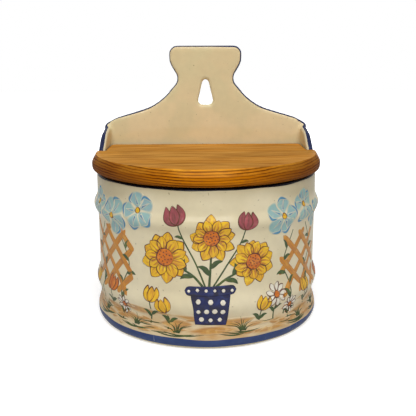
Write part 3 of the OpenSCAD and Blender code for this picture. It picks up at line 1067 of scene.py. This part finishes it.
WHITE = (1, 1, 1, 1)
FLOOR_COLOUR = (0.86, 0.86, 0.86, 1)
FLOOR_HALF = 3.0
SKY_STRENGTH = 0.12

# The floor's own white comes in between these distances from the middle of the object
GLOW_NEAR, GLOW_FAR = 0.15, 0.9

POT_MIDDLE = (0, 0, 0.1)
LAMPS = (
    dict(name="key", place=(0.02, -1.05, 0.98), target=POT_MIDDLE, width=1.1, height=0.5, power=10.8),
    dict(name="top", place=(0.02, -0.35, 1.2), target=POT_MIDDLE, width=1.0, height=0.8, power=6.5),
    dict(name="back", place=(0, 1.3, 0.12), target=(0, 0.05, 0.1), width=1.2, height=0.2, power=8.0),
)


def seen(tree):
    """1 where the camera sees a surface, itself or in gloss or glass, and 0 for plain light."""
    path = add_node(tree, "LightPath")
    most = path.outputs["Is Camera Ray"]
    for ray in ("Is Glossy Ray", "Is Transmission Ray"):
        most = add_node(tree, "Math", {0: most, 1: path.outputs[ray]}, operation="MAXIMUM").outputs[0]
    return most


def floor_material():
    """White floor that keeps the object's shadow, and turns plain white away from it."""
    material = bpy.data.materials.new("floor")
    material.use_nodes = True
    tree = material.node_tree
    surface = tree.nodes["Principled BSDF"]
    surface.inputs["Base Color"].default_value = FLOOR_COLOUR
    surface.inputs["Roughness"].default_value = 0.9
    surface.inputs["Specular IOR Level"].default_value = 0.0
    place = add_node(tree, "TexCoord")
    away = add_node(tree, "VectorMath", {0: place.outputs["Object"]}, operation="LENGTH")
    rise = add_node(tree, "MapRange", {"Value": away.outputs["Value"], "From Min": GLOW_NEAR,
                                       "From Max": GLOW_FAR, "To Min": 0.5, "To Max": 1.0},
                    interpolation_type="SMOOTHSTEP")
    glow = add_node(tree, "Emission", {"Strength": rise.outputs[0]})
    dark = add_node(tree, "Emission", {"Strength": 0.0})
    choice = add_node(tree, "MixShader", {0: seen(tree), 1: dark.outputs[0], 2: glow.outputs[0]})
    both = add_node(tree, "AddShader", {0: surface.outputs[0], 1: choice.outputs[0]})
    tree.links.new(both.outputs[0], tree.nodes["Material Output"].inputs["Surface"])
    return material


def add_floor():
    """A plain square floor under the object."""
    mesh = bpy.data.meshes.new("floor")
    corners = [(x * FLOOR_HALF, y * FLOOR_HALF, 0) for x, y in ((-1, -1), (1, -1), (1, 1), (-1, 1))]
    mesh.from_pydata(corners, [], [(0, 1, 2, 3)])
    mesh.materials.append(floor_material())
    floor = bpy.data.objects.new("floor", mesh)
    bpy.context.scene.collection.objects.link(floor)


def add_world():
    """Even grey light, with white behind the object in the camera's view and in its gloss."""
    world = bpy.data.worlds.new("studio")
    bpy.context.scene.world = world
    world.use_nodes = True
    tree = world.node_tree
    sky = tree.nodes["Background"]
    sky.inputs["Color"].default_value = WHITE
    sky.inputs["Strength"].default_value = SKY_STRENGTH
    backdrop = add_node(tree, "Background", {"Color": WHITE, "Strength": 1.0})
    choice = add_node(tree, "MixShader", {0: seen(tree), 1: sky.outputs[0], 2: backdrop.outputs[0]})
    tree.links.new(choice.outputs[0], tree.nodes["World Output"].inputs["Surface"])


def add_softbox(name, place, target, width, height, power):
    """A soft rectangular lamp that is turned to a target."""
    lamp = bpy.data.lights.new(name, "AREA")
    lamp.shape = "RECTANGLE"
    lamp.size, lamp.size_y = width, height
    lamp.energy = power
    box = bpy.data.objects.new(name, lamp)
    box.location = place
    box.rotation_euler = (Vector(target) - Vector(place)).to_track_quat("-Z", "Y").to_euler()
    bpy.context.scene.collection.objects.link(box)


def add_camera():
    """The photograph's view: 416 pixels square, looking a little down at the front."""
    photo_width = 416
    focal_pixels = 641.4
    sensor_width = 36
    place = (-0.0031, -0.4873, 0.1964)
    yaw, pitch, roll = -0.009, 0.235, -0.004
    data = bpy.data.cameras.new("camera")
    data.sensor_width = sensor_width
    data.lens = sensor_width * focal_pixels / photo_width
    data.clip_start = 0.01
    camera = bpy.data.objects.new("camera", data)
    level = Matrix.Rotation(yaw, 4, "Z") @ Matrix.Rotation(math.pi / 2 - pitch, 4, "X")
    turn = level @ Matrix.Rotation(roll, 4, "Z")
    camera.matrix_world = Matrix.Translation(place) @ turn
    bpy.context.scene.collection.objects.link(camera)
    bpy.context.scene.camera = camera


add_floor()
add_world()
for lamp_values in LAMPS:
    add_softbox(**lamp_values)
add_camera()
bpy.context.scene.view_settings.view_transform = "Standard"
